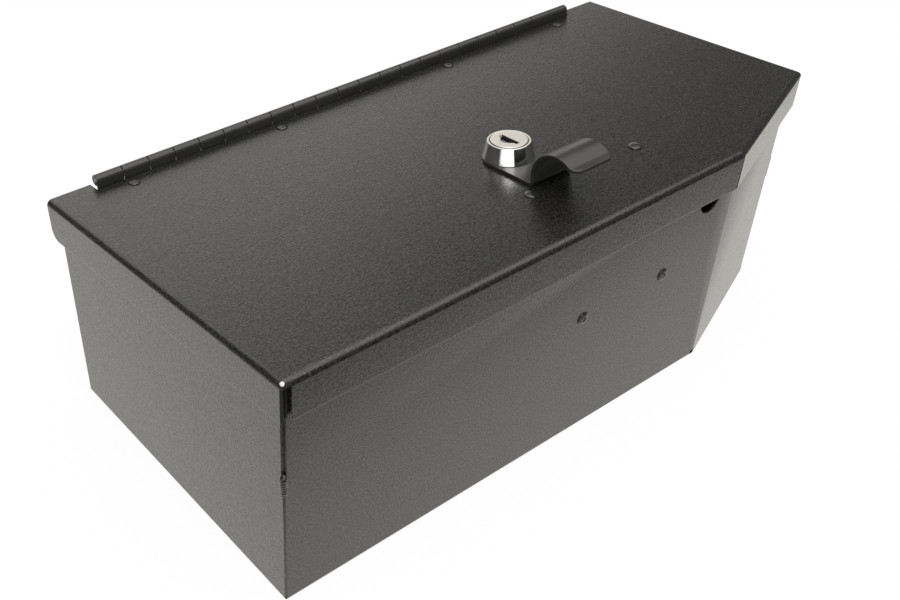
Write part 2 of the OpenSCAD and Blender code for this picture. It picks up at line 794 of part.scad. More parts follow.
module lock_housing() {
    head_bottom = face_z - face_t - face_gap;
    color(chrome) in_lock() difference() {
        union() {
            translate([0, 0, pull_t]) cylinder(h = bezel_h, d1 = bezel_d, d2 = bezel_top_d);
            translate([0, 0, -lock_barrel_l]) linear_extrude(lock_barrel_l + pull_t)
                barrel_outline(0);
            translate([0, 0, stop_z]) linear_extrude(stop_t + face_gap) difference() {
                barrel_outline(0);
                circle(ring_r0);
                sector(tab_angle / 2 + stop_free, -cam_turn - tab_angle / 2 - stop_free);
            }
        }
        translate([0, 0, head_bottom]) cylinder(h = bezel_h, r = face_d / 2 + face_groove);
        translate([0, 0, -lock_barrel_l - over])
            cylinder(h = lock_barrel_l + face_z, r = plug_d / 2 + plug_play);
    }
}

module lock_washer() {
    color(zinc) in_lock() translate([0, 0, washer_z]) linear_extrude(washer_t) difference() {
        circle(washer_d / 2);
        barrel_outline(barrel_play);
    }
}

module lock_nut() {
    corner_d = nut_af / cos(30);
    color(brass) in_lock() translate([0, 0, nut_z]) difference() {
        cylinder(h = nut_h, d = corner_d, $fn = 6);
        translate([0, 0, -over]) cylinder(h = nut_h + 2 * over, d = lock_barrel_d + 2 * barrel_play);
    }
}

// The outline of the plug's tail, round with two flats
module tail_outline(play) {
    intersection() {
        circle(tail_rod_d / 2 + play);
        square([tail_rod_d + over, tail_flats + 2 * play], center = true);
    }
}

// Height of the middle of wafer i
function wafer_z(i) = first_wafer_z - i * wafer_pitch;

module wafer_outline(play) {
    square([wafer_w + 2 * play, plug_d + over], center = true);
    translate([wafer_w / 2 - play, -pocket_back - play]) square([ear_w + 2 * play, 2 * pocket_back]);
}

module lock_plug() {
    color(chrome) in_lock() difference() {
        union() {
            translate([0, 0, face_z - face_t]) cylinder(h = face_t, d = face_d);
            translate([0, 0, -lock_barrel_l - face_gap])
                cylinder(h = lock_barrel_l + face_z - face_t + face_gap, d = plug_d);
            translate([0, 0, cam_z + face_gap]) linear_extrude(cam_t + stop_t) tail_outline(0);
        }
        translate([-slot_w / 2, -slot_l / 2, -slot_depth])
            cube([slot_w, slot_l, slot_depth + face_z + over]);
        translate([0, 0, face_z - funnel_depth]) linear_extrude(funnel_depth + over)
            polygon([[slot_w / 2, -funnel_l / 2], [slot_w / 2, funnel_l / 2],
                     [-funnel_w, funnel_flat / 2], [-funnel_w, -funnel_flat / 2]]);
        for (i = [0 : wafers - 1]) {
            translate([0, 0, wafer_z(i) - wafer_t / 2 - wafer_play])
                linear_extrude(wafer_t + 2 * wafer_play) wafer_outline(wafer_play);
        }
        translate([0, 0, cam_z - over])
            cylinder(h = screw_l + over + wafer_play, r = screw_d / 2 + tail_play);
    }
}

module wafer_tumblers() {
    color(brass) in_lock() for (i = [0 : wafers - 1]) {
        translate([0, 0, wafer_z(i) - wafer_t / 2]) linear_extrude(wafer_t) difference() {
            union() {
                intersection() {
                    square([wafer_w, plug_d], center = true);
                    circle(plug_d / 2 - wafer_play);
                }
                translate([wafer_w / 2 - over, spring_l - pocket_back])
                    square([ear_w + over - wafer_play, ear_t]);
            }
            square([window_w, window_l], center = true);
        }
    }
}

module wafer_springs() {
    color(zinc) in_lock() for (i = [0 : wafers - 1]) {
        translate([wafer_w / 2 + ear_w / 2, -pocket_back, wafer_z(i)])
            rotate([-90, 0, 0]) cylinder(h = spring_l - wafer_play, d = spring_d, $fn = 24);
    }
}

module cam_stop_washer() {
    tab_r = ring_r1 - barrel_play;
    color(zinc) in_lock() translate([0, 0, stop_z]) linear_extrude(stop_t) difference() {
        union() {
            circle(stop_d / 2);
            intersection() {
                circle(tab_r);
                sector(-tab_angle / 2, tab_angle / 2);
            }
        }
        tail_outline(tail_play);
    }
}

module lock_cam() {
    tip_r = cam_w / 2;
    color(zinc) in_lock() translate([0, 0, cam_z]) linear_extrude(cam_t) difference() {
        union() {
            circle(tip_r);
            translate([0, -tip_r]) square([cam_reach - tip_r, cam_w]);
            translate([cam_reach - tip_r, 0]) circle(tip_r);
        }
        tail_outline(tail_play);
    }
}

module cam_spring_washer() {
    color(zinc) in_lock() translate([0, 0, spring_washer_z]) difference() {
        cylinder(h = spring_washer_t, d = spring_washer_d);
        translate([0, 0, -over]) cylinder(h = spring_washer_t + 2 * over, r = screw_d / 2 + tail_play);
    }
}

module cam_screw() {
    color(zinc) in_lock() translate([0, 0, spring_washer_z]) {
        translate([0, 0, -screw_head_h]) cylinder(h = screw_head_h, d = screw_af / cos(30), $fn = 6);
        cylinder(h = spring_washer_t + screw_l, d = screw_d);
    }
}

body_shell();
corner_welds();
catch_bracket();
catch_rivets();
hinge_body_leaf();
hinge_body_rivets();
hinge_pin();
lid_panel();
hinge_lid_leaf();
hinge_lid_rivets();
lock_reinforcement();
reinforcement_rivets();
finger_pull();
lock_housing();
lock_washer();
lock_nut();
lock_plug();
wafer_tumblers();
wafer_springs();
cam_stop_washer();
lock_cam();
cam_spring_washer();
cam_screw();
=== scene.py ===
"""Dresses the solids of an under-seat safe: coat, plated metal, hinge, rivets, lock, studio and camera."""

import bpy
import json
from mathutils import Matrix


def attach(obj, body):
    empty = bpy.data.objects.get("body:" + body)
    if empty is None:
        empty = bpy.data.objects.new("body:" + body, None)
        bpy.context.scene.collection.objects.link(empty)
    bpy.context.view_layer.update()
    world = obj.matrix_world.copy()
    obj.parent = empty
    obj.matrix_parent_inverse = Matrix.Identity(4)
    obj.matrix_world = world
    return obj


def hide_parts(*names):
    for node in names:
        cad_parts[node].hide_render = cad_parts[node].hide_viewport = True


bl_info = {
    "name": "Under-seat safe",
    "version": (1, 0, 0),
    "blender": (4, 5, 0),
    "location": "3D View > Sidebar > Safe",
    "description": "Builds the visible pieces of an under-seat safe round its solids",
    "category": "Object",
}

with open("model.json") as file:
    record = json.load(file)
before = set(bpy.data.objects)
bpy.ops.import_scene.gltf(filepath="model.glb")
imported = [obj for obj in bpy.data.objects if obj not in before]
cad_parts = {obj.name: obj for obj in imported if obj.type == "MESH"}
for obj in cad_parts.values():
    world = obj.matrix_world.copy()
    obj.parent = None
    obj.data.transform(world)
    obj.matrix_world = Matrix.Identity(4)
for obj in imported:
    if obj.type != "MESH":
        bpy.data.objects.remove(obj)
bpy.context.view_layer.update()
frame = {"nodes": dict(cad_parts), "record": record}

import json
import math

import bmesh
import bpy
from bpy.props import FloatProperty, FloatVectorProperty, IntProperty, PointerProperty
from mathutils import Matrix, Vector
from mathutils.kdtree import KDTree

MM = 0.001
# Points closer than this are one point
MERGE = 1e-6
# Spacing of the points that stand for an edge
EDGE_STEP = 0.0004
# Faces that turn less than FLAT are joined, and edges that turn more than SHARP are rounded
FLAT = math.radians(0.5)
SHARP = math.radians(32)
# Edges shorter than MITRE, where two bends meet, are rounded from MITRE_TURN on
MITRE_TURN = math.radians(2)
MITRE = 0.0012
# A face looks along a direction when its normal reaches this far along it
FACING = 0.9
# Outputs of the Light Path node and of the Texture Coordinate node
CAMERA_RAY, GLOSSY_RAY, TRANSMISSION_RAY = 0, 3, 6
DIRECTION, OBJECT = 0, 3
# Sizes of the coat's patterns: broad clouds, wiped patches and specks of dust
CLOUD, WIPED, SPECK = 0.06, 0.022, 0.0022
# The upset tail of a rivet, as shares of its head's radius and of the tail's height
TAIL_SHAPE = ((0.72, 0), (0.76, 0.3), (0.74, 0.8), (0.62, 1), (0, 1))
# Where the lock's finishes part: the bezel's face, over the lock's foot; the plug's face and the painted
# shade of the key slot, below the plug's top; and that shade's reach from the axis
BEZEL_FACE, PLUG_FACE, SLOT_DARK, SLOT_REACH = 0.004, 0.0006, 0.0013, 0.0054
# The softboxes: name, place, width and depth, and the setting that holds the power
SOFTBOXES = (
    ("softbox", (0.25, -0.1, 1.1), (1.8, 1.4), "box_power"),
    ("front_softbox", (-0.25, -0.3, 0.92), (0.5, 0.5), "front_power"),
)
JOINTS = {joint["name"]: joint for joint in frame["record"]["behaviour"]["joints"]}
LID_UP = -Vector(JOINTS["lock_turn"]["axis"])
LOCK_FOOT = Vector(JOINTS["lock_turn"]["pos_m"])
BODY_OF = {node: body for body, nodes in frame["record"]["behaviour"]["bodies"].items() for node in nodes}
SLOT_OF = {part["node"]: part["material_slot"] for part in frame["record"]["subparts"]}


class CoatSettings(bpy.types.PropertyGroup):
    """The fine-textured powder coat of the sheet metal."""

    colour: FloatVectorProperty(
        name="Colour", description="Colour of the coat", subtype="COLOR", size=3,
        default=(0.0052, 0.0051, 0.0048), min=0, max=1)
    roughness: FloatProperty(
        name="Roughness", description="Mean roughness of the coat", default=0.23, min=0, max=1)
    grain: FloatProperty(
        name="Grain", description="Size of the coat's grain", unit="LENGTH", default=0.0009, min=0.0001)
    depth: FloatProperty(
        name="Depth", description="Height of the grain", unit="LENGTH", default=0.00013, min=0)
    # Painted highlight: the paler strip of coat along the lid's lower edges stands in for light catching
    # those edges
    painted_edge_highlight: FloatProperty(
        name="Worn edge", description="Width of the worn strip along the lid's lower edges", unit="LENGTH",
        default=0.001, min=0.0001)
    edge_highlight_colour: FloatVectorProperty(
        name="Worn colour", description="Colour of the coat there", subtype="COLOR", size=3,
        default=(0.075, 0.073, 0.068), min=0, max=1)
    sparkle: FloatProperty(
        name="Sparkle", description="How much the tops of the grain shine", default=0.45, min=0, max=1)
    # Painted shade: a near-black, matt patch in the slot at the front left corner, where the lid's bend and
    # skirts shade the body
    slot_shade_colour: FloatVectorProperty(
        name="Slot colour", description="Colour of the dull scale in the slot at the front left corner",
        subtype="COLOR", size=3, default=(0.0025, 0.0024, 0.0023), min=0, max=1)
    slot_width: FloatProperty(
        name="Slot width", description="How far that scale reaches from the lid's left edge", unit="LENGTH",
        default=0.0041, min=0.001)
    slot_height: FloatProperty(
        name="Slot height", description="How far it reaches up from the skirt's lower edge",
        unit="LENGTH", default=0.0175, min=0.001)
    # Painted highlight: a small pale spot at the tip of the lid's front left corner stands in for a glint of
    # light on the rounded corner
    tip_glint_colour: FloatVectorProperty(
        name="Tip colour", description="Colour of the metal where the lid's front left corner is rubbed",
        subtype="COLOR", size=3, default=(0.62, 0.61, 0.6), min=0, max=1)
    tip_glint_size: FloatProperty(
        name="Tip size", description="Radius of that spot", unit="LENGTH", default=0.00095, min=0.0002)


class GlossSettings(bpy.types.PropertyGroup):
    """The smooth black paint of the hinge and the finger pull."""

    colour: FloatVectorProperty(
        name="Colour", description="Colour of the paint", subtype="COLOR", size=3,
        default=(0.012, 0.0118, 0.0112), min=0, max=1)
    roughness: FloatProperty(
        name="Roughness", description="Mean roughness of the paint", default=0.32, min=0, max=1)


class MetalSettings(bpy.types.PropertyGroup):
    """The bare and plated metals of the lock and of the catch."""

    chrome: FloatVectorProperty(
        name="Chrome", description="Colour of the chrome plate", subtype="COLOR", size=3,
        default=(0.82, 0.82, 0.83), min=0, max=1)
    zinc: FloatVectorProperty(
        name="Zinc", description="Colour of the zinc plate", subtype="COLOR", size=3,
        default=(0.58, 0.59, 0.61), min=0, max=1)
    satin: FloatVectorProperty(
        name="Satin", description="Colour of the lock's rubbed faces", subtype="COLOR", size=3,
        default=(0.96, 0.93, 0.87), min=0, max=1)
    brass: FloatVectorProperty(
        name="Brass", description="Colour of the brass", subtype="COLOR", size=3,
        default=(0.72, 0.56, 0.27), min=0, max=1)


class EdgeSettings(bpy.types.PropertyGroup):
    """How far the edges of each kind of piece are rounded."""

    sheet: FloatProperty(
        name="Sheet", description="Rounding of the sheet's cut edges", unit="LENGTH",
        default=0.0003, min=0.00005, max=0.0006)
    small: FloatProperty(
        name="Small pieces", description="Rounding of the edges of turned and stamped pieces",
        unit="LENGTH", default=0.0002, min=0.00005, max=0.0005)
    lock: FloatProperty(
        name="Lock", description="Rounding of the edges of the lock's bezel and plug",
        unit="LENGTH", default=0.00025, min=0.00005, max=0.0003)
    wafer: FloatProperty(
        name="Wafers", description="Rounding of the edges of the wafer tumblers", unit="LENGTH",
        default=0.00008, min=0.00002, max=0.0001)
    segments: IntProperty(
        name="Segments", description="Faces across a rounded edge", default=3, min=1, max=6)


class RivetSettings(bpy.types.PropertyGroup):
    """The rivets, whose places and lengths come from the solids."""

    shank: FloatProperty(
        name="Shank", description="Diameter of the shank", unit="LENGTH", default=0.0032, min=0.002)
    head: FloatProperty(
        name="Head", description="Height of the domed head", unit="LENGTH", default=0.0009, min=0.0003)
    tail: FloatProperty(
        name="Tail", description="Height of the upset tail", unit="LENGTH", default=0.0008, min=0.0003)
    bore: FloatProperty(
        name="Bore", description="Radius of the open bore of the front wall's blind rivets", unit="LENGTH",
        default=0.0011, min=0.0005, max=0.0013)
    bore_depth: FloatProperty(
        name="Bore depth", description="Depth of that bore below the wall's face", unit="LENGTH",
        default=0.0012, min=0.0003)


class CameraSettings(bpy.types.PropertyGroup):
    """The camera, at the photograph's viewing angle."""

    place: FloatVectorProperty(
        name="Place", description="Where the camera stands", subtype="TRANSLATION", unit="LENGTH",
        default=(-0.331206, -0.32054, 0.375879), size=3)
    aim: FloatVectorProperty(
        name="Aim", description="Direction that the camera looks in", subtype="DIRECTION",
        default=(0.49462, 0.60479, -0.62416), size=3)
    roll: FloatProperty(
        name="Roll", description="Turn of the camera about its own axis", subtype="ANGLE",
        default=math.radians(1.325))
    lens: FloatProperty(
        name="Lens", description="Focal length in millimetres", default=49.07, min=20)
    shift: FloatVectorProperty(
        name="Shift", description="Shift of the lens, in frame widths", default=(0.1135, 0.015), size=2)


class StudioSettings(bpy.types.PropertyGroup):
    """The floor and the light."""

    floor: FloatVectorProperty(
        name="Floor", description="Colour of the floor", subtype="COLOR", size=3,
        default=(0.93, 0.93, 0.93), min=0, max=1)
    floor_size: FloatProperty(
        name="Floor size", description="Radius of the floor", unit="LENGTH", default=6.0, min=1)
    floor_white: FloatProperty(
        name="Floor white", description="Share of plain white that the camera and reflections see in it",
        default=0.95, min=0, max=1)
    front_dim: FloatProperty(
        name="Front dim", description="Brightness, in reflections, of the floor far in front", default=0.15,
        min=0, max=1)
    front_fade: FloatVectorProperty(
        name="Front fade", description="Where, along Y, that floor begins to brighten and is bright",
        unit="LENGTH", default=(-0.235, -0.115), size=2)
    table_fade: FloatVectorProperty(
        name="Table fade", description="How far from the middle the floor fades in reflections",
        unit="LENGTH", default=(0.34, 0.48), size=2)
    corner_fade: FloatVectorProperty(
        name="Corner fade", description="Where, by X plus Y, the floor off the front left corner fades",
        unit="LENGTH", default=(-0.36, -0.25), size=2)
    left_fade: FloatVectorProperty(
        name="Left fade", description="Where, along the light's own X, the light from the left fades",
        default=(-0.35, -0.05), size=2)
    top_fade: FloatVectorProperty(
        name="Top fade", description="Where, along the light's own Z, the light from above comes in",
        default=(0.62, 0.76), size=2)
    low_side: FloatVectorProperty(
        name="Low side", description="Direction that the low light comes from", subtype="DIRECTION", size=3,
        default=(-0.63, -0.77, 0.06))
    low_fade: FloatVectorProperty(
        name="Low fade", description="Where, along that direction, its light comes in",
        default=(0.66, 0.84), size=2)
    low_light: FloatProperty(
        name="Low light", description="Strength of the low light", default=1.4, min=0)
    warm: FloatVectorProperty(
        name="Warm white", description="Colour of the floor in reflections", subtype="COLOR", size=3,
        default=(1.0, 0.98, 0.925), min=0, max=1)
    tint: FloatVectorProperty(
        name="Light tint", description="Colour of the light", subtype="COLOR", size=3,
        default=(1.0, 0.985, 0.94), min=0, max=1)
    bright: FloatProperty(
        name="Bright side", description="Strength of the light from the bright side", default=1.0, min=0)
    dim: FloatProperty(
        name="Dim side", description="Strength of the light from the other side", default=0.14, min=0)
    side: FloatVectorProperty(
        name="Side", description="Direction that the light fades along", size=3,
        default=(-0.571, 0.95, -0.86))
    fade: FloatProperty(
        name="Fade", description="Width of the fade between the two sides", default=0.24, min=0.01)
    box_power: FloatProperty(
        name="Softbox power", description="Power of the softbox in watts", default=6.0, min=0)
    front_power: FloatProperty(
        name="Front softbox power", description="Power of the small softbox over the front left, in watts",
        default=3.2, min=0)


class Sock:
    """A socket that takes part in Python expressions: each operator adds one Math node."""

    def __init__(self, nodes, socket):
        self.nodes = nodes
        self.socket = socket

    def _math(self, operation, first, second):
        return self.nodes.node("ShaderNodeMath", {"operation": operation}, {0: first, 1: second})

    def __add__(self, other):
        return self._math("ADD", self, other)

    __radd__ = __add__

    def __mul__(self, other):
        return self._math("MULTIPLY", self, other)

    __rmul__ = __mul__

    def __sub__(self, other):
        return self._math("SUBTRACT", self, other)

    def __rsub__(self, other):
        return self._math("SUBTRACT", other, self)

    def __gt__(self, other):
        return self._math("GREATER_THAN", self, other)


class Nodes:
    """A node tree, shader or geometry, that is filled one node at a time."""

    def __init__(self, tree):
        self.tree = tree
        tree.nodes.clear()

    def node(self, kind, settings=None, inputs=None, output=0):
        """Adds a node: its settings first, then the values and links of its sockets."""
        made = self.tree.nodes.new(kind)
        for name, value in (settings or {}).items():
            if name == "stops":
                self._stops(made.color_ramp, value)
            else:
                setattr(made, name, value)
        for name, value in (inputs or {}).items():
            if isinstance(value, Sock):
                self.tree.links.new(value.socket, made.inputs[name])
            else:
                made.inputs[name].default_value = value
        return Sock(self, made.outputs[output]) if made.outputs else made

    @staticmethod
    def _stops(ramp, stops):
        while len(ramp.elements) < len(stops):
            ramp.elements.new(1.0)
        for element, (place, level) in zip(ramp.elements, stops):
            element.position = place
            element.color = (level, level, level, 1)

    def part(self, vector, axis):
        """One of a vector's three numbers."""
        return self.node("ShaderNodeSeparateXYZ", None, {"Vector": vector}, axis)

    def along(self, vector, way):
        """How far a vector reaches along a direction."""
        return self.node("ShaderNodeVectorMath", {"operation": "DOT_PRODUCT"}, {0: vector, 1: way}, 1)

    def place(self):
        """The place on the object, in metres."""
        return self.node("ShaderNodeTexCoord", output=OBJECT)

    def noise(self, place, size, detail=3.0, rough=0.5, lift=(0, 0, 0)):
        """Noise whose features are about size across, in metres; lift takes it from another spot."""
        moved = self.node("ShaderNodeMapping", None, {"Vector": place, "Location": lift})
        return self.node("ShaderNodeTexNoise", None, {
            "Vector": moved, "Scale": 1 / size, "Detail": detail, "Roughness": rough})

    def ramp(self, value, stops):
        return self.node("ShaderNodeValToRGB", {"stops": stops}, {"Fac": value})

    def fade(self, value, reach, low, high):
        """A soft step from low to high while the value goes through reach."""
        return self.node("ShaderNodeMapRange", {"interpolation_type": "SMOOTHSTEP"}, {
            "Value": value, "From Min": reach[0], "From Max": reach[1], "To Min": low, "To Max": high})

    def inside(self, place, low, high, soft):
        """1 within a box, with soft edges, and 0 outside it."""
        mask = 1.0
        for axis in range(3):
            value = self.part(place, axis)
            mask = self.fade(value, (low[axis], low[axis] + soft), 0.0, 1.0) * mask
            mask = self.fade(value, (high[axis] - soft, high[axis]), 1.0, 0.0) * mask
        return mask

    def mixed(self, factor, first, second):
        """Mixes two colours."""
        return self.node("ShaderNodeMix", {"data_type": "RGBA"}, {0: factor, 6: first, 7: second}, 2)


def new_material(name):
    material = bpy.data.materials.new(name)
    material.use_nodes = True
    return material, Nodes(material.node_tree)


def finish_material(nodes, colour, roughness, normal, **constants):
    """Joins the varying sockets to a Principled shader and sets the even ones on it."""
    inputs = {"Base Color": colour, "Roughness": roughness, "Normal": normal}
    for name, value in constants.items():
        inputs[name.replace("_", " ").title().replace("Ior", "IOR")] = value
    shader = nodes.node("ShaderNodeBsdfPrincipled", None, inputs)
    nodes.node("ShaderNodeOutputMaterial", None, {"Surface": shader})


def opaque(colour, times=1.0):
    """A colour made lighter or darker, as a socket takes it."""
    return (*(min(1.0, channel * times) for channel in colour), 1.0)


def front_left_foot():
    """The lower end of the lid's front left corner."""
    points = [vert.co for vert in frame["nodes"]["lid_panel"].data.vertices]
    low, _ = box_of(points)
    return Vector((low.x, low.y, min(point.z for point in points if point.y < low.y + MM)))


def powder_coat(settings, name="powder_coat", edge=None, slot=False, tip=False):
    """Black powder coat: a fine grain, faint mottling, and wiped patches in its sheen.

    Below the height edge, along the lid's own upright, the coat is painted paler in ragged patches, a
    painted highlight along the lid's lower edges. In the slot at the front left corner it can take painted
    shade, dark and matt, and the tip of the lid over it a pale painted glint.
    """
    material, nodes = new_material(name)
    place = nodes.place()
    grain = nodes.noise(place, settings.grain, 2.0, 0.6)
    pebble = nodes.noise(place, settings.grain * 4, 2.0, 0.5, (1, 2, 3))
    cloud = nodes.noise(place, CLOUD, 3.0, 0.55, (3, 1, 2))
    wiped = nodes.noise(place, WIPED, 4.0, 0.6, (2, 5, 1))
    speck = nodes.ramp(nodes.noise(place, SPECK, 1.0, 0.5, (4, 4, 7)), [(0.70, 0), (0.76, 1)])
    tint = nodes.ramp(cloud, [(0.3, 0.85), (0.7, 1.2)])
    peak = nodes.ramp(grain, [(0.36, 0), (0.66, 1)])
    base = nodes.mixed(peak * tint * 0.8, opaque(settings.colour), opaque(settings.colour, 4.4))
    colour = nodes.mixed(speck * 0.12, base, opaque((0.16, 0.155, 0.145)))
    # Painted highlight: just above the lid's lower edges the coat is painted paler in ragged patches,
    # standing in for light catching those edges
    if edge is not None:
        painted_edge_highlight = nodes.fade(nodes.along(place, LID_UP), (edge, edge + settings.painted_edge_highlight), 1.0, 0.0)
        colour = nodes.mixed(painted_edge_highlight * wiped * 1.6, colour, opaque(settings.edge_highlight_colour))
    sheen = (cloud - 0.5) * 0.05 + (wiped - 0.5) * 0.03 + (grain - 0.5) * 0.14 + settings.roughness
    shine = peak * settings.sparkle
    corner = front_left_foot()
    # Painted shade: in the slot at the front left corner the coat is painted near-black, made rougher and
    # loses its sparkle
    if slot:
        start = Vector((0.00012, -0.001, 0))
        reach = Vector((settings.slot_width, 0.0045, settings.slot_height))
        slot_shade = nodes.inside(place, corner + start, corner + reach, 0.0002)
        colour = nodes.mixed(slot_shade, colour, opaque(settings.slot_shade_colour))
        sheen = sheen + slot_shade * 0.6
        shine = (1 - slot_shade) * shine
    # Painted highlight: a ragged pale spot at the tip of the lid's front left corner stands in for light
    # glinting there
    if tip:
        spot = corner + Vector((0.0012, 0.0012, settings.slot_height + 0.0001))
        away = nodes.node("ShaderNodeVectorMath", {"operation": "DISTANCE"}, {0: place, 1: spot}, 1)
        ragged = away + (pebble - 0.5) * 0.0012 + (grain - 0.5) * 0.0006
        tip_glint_mask = nodes.fade(ragged, (settings.tip_glint_size * 0.7, settings.tip_glint_size), 1.0, 0.0)
        colour = nodes.mixed(tip_glint_mask, colour, opaque(settings.tip_glint_colour))
    height = grain * 0.8 + pebble * 0.25
    normal = nodes.node("ShaderNodeBump", None, {
        "Strength": 1.0, "Distance": settings.depth, "Height": height})
    finish_material(nodes, colour, sheen, normal,
                    coat_weight=shine, coat_roughness=0.3, coat_ior=1.5, ior=1.6)
    return material


def gloss_paint(settings):
    """Smooth black paint with orange peel, dust and rubbed marks."""
    material, nodes = new_material("gloss_paint")
    place = nodes.place()
    peel = nodes.noise(place, 0.0016, 1.0, 0.5)
    cloud = nodes.noise(place, 0.012, 3.0, 0.55, (3, 1, 2))
    dust = nodes.ramp(nodes.noise(place, 0.0006, 2.0, 0.6, (5, 2, 1)), [(0.66, 0), (0.74, 1)])
    base = nodes.mixed(cloud, opaque(settings.colour), opaque(settings.colour, 2.2))
    colour = nodes.mixed(dust * 0.10, base, opaque((0.22, 0.21, 0.19)))
    rough = (cloud - 0.5) * 0.16 + dust * 0.12 + settings.roughness
    normal = nodes.node("ShaderNodeBump", None, {
        "Strength": 0.6, "Distance": 0.00003, "Height": peel})
    finish_material(nodes, colour, rough, normal, ior=1.62)
    return material


def plated(name, tint, rough, streak, scratch):
    """Plated or bare metal: streaks of its working, smudges and fine scratches."""
    material, nodes = new_material(name)
    place = nodes.place()
    smudge = nodes.noise(place, 0.006, 4.0, 0.6, (2, 2, 5))
    stretched = nodes.node("ShaderNodeMapping", None, {"Vector": place, "Scale": (0.06, 1, 1)})
    brushed = nodes.noise(stretched, 0.0003, 2.0, 0.6)
    marks = nodes.ramp(nodes.noise(stretched, 0.0009, 3.0, 0.7, (1, 7, 3)), [(0.62, 0), (0.70, 1)])
    colour = nodes.mixed(smudge * 0.5 + marks * scratch, opaque(tint), opaque(tint, 0.72))
    roughness = (smudge - 0.5) * rough * 1.2 + (brushed - 0.5) * streak + marks * scratch * 0.3 + rough
    normal = nodes.node("ShaderNodeBump", None, {
        "Strength": 0.4, "Distance": 0.00001, "Height": brushed * streak + marks * (-scratch)})
    finish_material(nodes, colour, roughness, normal, metallic=1.0)
    return material


def satin_face(tint):
    """The faces of the lock that keys have rubbed: pale, warm and half matt."""
    material, nodes = new_material("satin_face")
    place = nodes.place()
    smudge = nodes.noise(place, 0.004, 3.0, 0.6, (1, 4, 2))
    speck = nodes.ramp(nodes.noise(place, 0.0008, 2.0, 0.6, (6, 1, 3)), [(0.58, 0), (0.70, 1)])
    colour = nodes.mixed(smudge * 0.3 + speck * 0.5, opaque(tint), opaque(tint, 0.8))
    normal = nodes.node("ShaderNodeBump", None, {"Strength": 0.3, "Distance": 0.00003, "Height": speck})
    finish_material(nodes, colour, (smudge - 0.5) * 0.2 + 0.42, normal, metallic=1.0)
    return material


def keyway_metal():
    """Painted shade down inside the key slot: a near-black, matt, mottled colour."""
    material, nodes = new_material("keyway_metal")
    place = nodes.place()
    shade_mottle = nodes.noise(place, 0.0012, 3.0, 0.6)
    colour = nodes.mixed(shade_mottle, opaque((0.008, 0.008, 0.008)), opaque((0.05, 0.046, 0.04)))
    normal = nodes.node("ShaderNodeBump", None, {
        "Strength": 0.5, "Distance": 0.00003, "Height": shade_mottle})
    finish_material(nodes, colour, shade_mottle * 0.3 + 0.35, normal, metallic=0.0)
    return material


def finish_for(slot):
    """The material of one of the record's slots, made once."""
    scene = bpy.context.scene
    metal = scene.safe_metal
    makers = {
        "coat": ("powder_coat", lambda: powder_coat(scene.safe_coat)),
        "coat_gloss": ("gloss_paint", lambda: gloss_paint(scene.safe_gloss)),
        "chrome": ("chrome_plate", lambda: plated("chrome_plate", metal.chrome, 0.07, 0.03, 0.10)),
        "zinc": ("zinc_plate", lambda: plated("zinc_plate", metal.zinc, 0.34, 0.22, 0.35)),
        "brass": ("cut_brass", lambda: plated("cut_brass", metal.brass, 0.28, 0.16, 0.25)),
    }
    name, make = makers[slot]
    return bpy.data.materials.get(name) or make()


def merged_solid(node):
    """A copy of a CAD node as a bmesh, with its loose triangles joined into flat faces."""
    work = bmesh.new()
    work.from_mesh(frame["nodes"][node].data)
    bmesh.ops.remove_doubles(work, verts=work.verts, dist=MERGE)
    bmesh.ops.dissolve_limit(work, angle_limit=FLAT, verts=work.verts, edges=work.edges)
    return work


def new_piece(name, work):
    """A new object from a bmesh, which is freed."""
    mesh = bpy.data.meshes.new(name)
    work.to_mesh(mesh)
    work.free()
    piece = bpy.data.objects.new(name, mesh)
    bpy.context.scene.collection.objects.link(piece)
    return piece


def baked(piece):
    """Replaces a piece's mesh by what its modifiers make of it, and removes them."""
    bpy.context.view_layer.update()
    graph = bpy.context.evaluated_depsgraph_get()
    mesh = bpy.data.meshes.new_from_object(
        piece.evaluated_get(graph), preserve_all_data_layers=True, depsgraph=graph)
    piece.modifiers.clear()
    old = piece.data
    piece.data = mesh
    bpy.data.meshes.remove(old)
    mesh.name = piece.name
    return piece


def weigh_edges(piece, longest_mitre):
    """Marks the edges to round: the sharp ones, and the short ones where two bends meet."""
    work = bmesh.new()
    work.from_mesh(piece.data)
    weight = work.edges.layers.float.new("bevel_weight_edge")
    for edge in work.edges:
        turn = edge.calc_face_angle(0.0)
        mitre = turn > MITRE_TURN and edge.calc_length() < longest_mitre
        edge[weight] = 1.0 if turn > SHARP or mitre else 0.0
    work.to_mesh(piece.data)
    work.free()


def box_of(points):
    """The lowest and the highest corner round some points."""
    low = Vector([min(point[i] for point in points) for i in range(3)])
    high = Vector([max(point[i] for point in points) for i in range(3)])
    return low, high


def edge_points(mesh):
    """Points along every edge of a mesh, EDGE_STEP apart or less, in a tree for finding the nearest."""
    places = []
    for edge in mesh.edges:
        first, second = (mesh.vertices[index].co for index in edge.vertices)
        steps = max(1, math.ceil((second - first).length / EDGE_STEP))
        places += [first.lerp(second, step / steps) for step in range(steps + 1)]
    tree = KDTree(len(places))
    for index, place in enumerate(places):
        tree.insert(place, index)
    tree.balance()
    return tree


def cut_up(mesh):
    """Cuts ring-shaped faces into triangles, where the plain filling would cover more than the face."""
    mesh.calc_loop_triangles()
    filled = [0.0] * len(mesh.polygons)
    for triangle in mesh.loop_triangles:
        filled[triangle.polygon_index] += triangle.area
    work = bmesh.new()
    work.from_mesh(mesh)
    wrong = [face for face, area in zip(work.faces, filled)
             if area > 1.01 * face.calc_area() + MERGE * MM]
    bmesh.ops.triangulate(work, faces=wrong)
    work.to_mesh(mesh)
    work.free()


